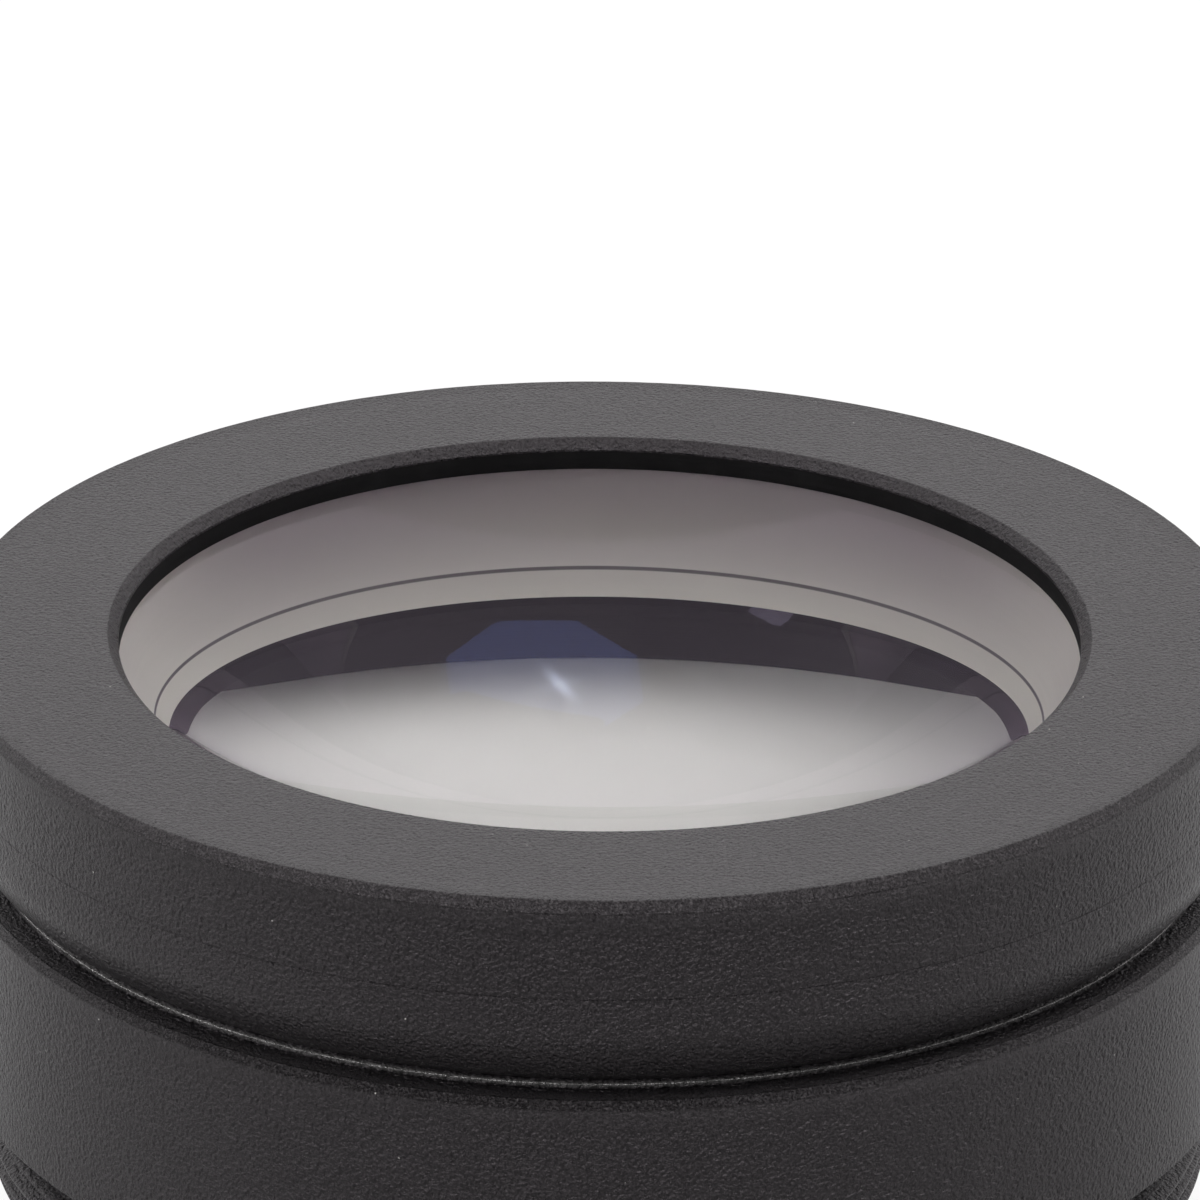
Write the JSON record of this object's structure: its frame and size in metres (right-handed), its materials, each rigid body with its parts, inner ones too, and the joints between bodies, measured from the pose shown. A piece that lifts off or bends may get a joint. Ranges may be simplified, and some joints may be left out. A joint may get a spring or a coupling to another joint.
{
  "type": "microscope barlow lens",
  "caption": "Screw-on auxiliary lens for a stereo microscope: a cemented glass doublet in a black stepped housing with a turned waist and a fine male mount thread.",
  "frame": {"origin": "centre of the mount thread's end face, on the optical axis", "axes": "+Z along the optical axis, from the mount thread towards the front glass; X and Y are equal"},
  "size_m": [0.0504, 0.0504, 0.0215],
  "materials": {
    "housing_paint": "black fine-grained powder coat with a soft sheen",
    "flint_glass": "polished and coated faces, ground edge",
    "crown_glass": "polished and coated faces, ground edge"
  },
  "bodies": {
    "root": {"front_cap": "housing_paint", "lens_cell": "housing_paint", "body_ring": "housing_paint", "front_element": "flint_glass", "rear_element": "crown_glass"}
  },
  "joints": []
}
